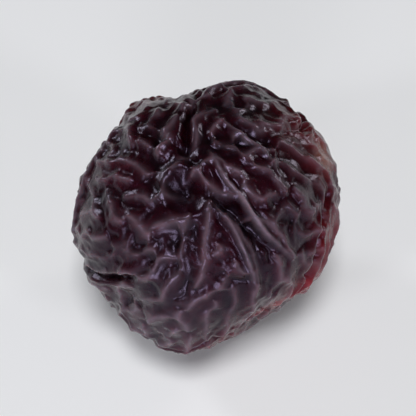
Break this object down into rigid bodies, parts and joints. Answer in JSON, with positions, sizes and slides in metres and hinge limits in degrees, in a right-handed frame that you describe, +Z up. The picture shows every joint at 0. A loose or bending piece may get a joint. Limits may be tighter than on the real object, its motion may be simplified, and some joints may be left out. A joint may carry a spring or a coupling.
{
  "type": "dried cranberry",
  "caption": "Whole dried cranberry: a plump, deeply wrinkled berry with a stem pit and a flower ring, resting on a small flat spot.",
  "frame": {"origin": "bottom centre of the berry's box, on the surface it rests on", "axes": "+Z up, +Y towards the back along the longest side, +X to the right as the picture shows it"},
  "size_m": [0.015, 0.0164, 0.0136],
  "materials": {
    "skin": "dark maroon wrinkled fruit skin with a soft sheen"
  },
  "bodies": {
    "root": {"dried_cranberry": "skin"}
  },
  "joints": []
}
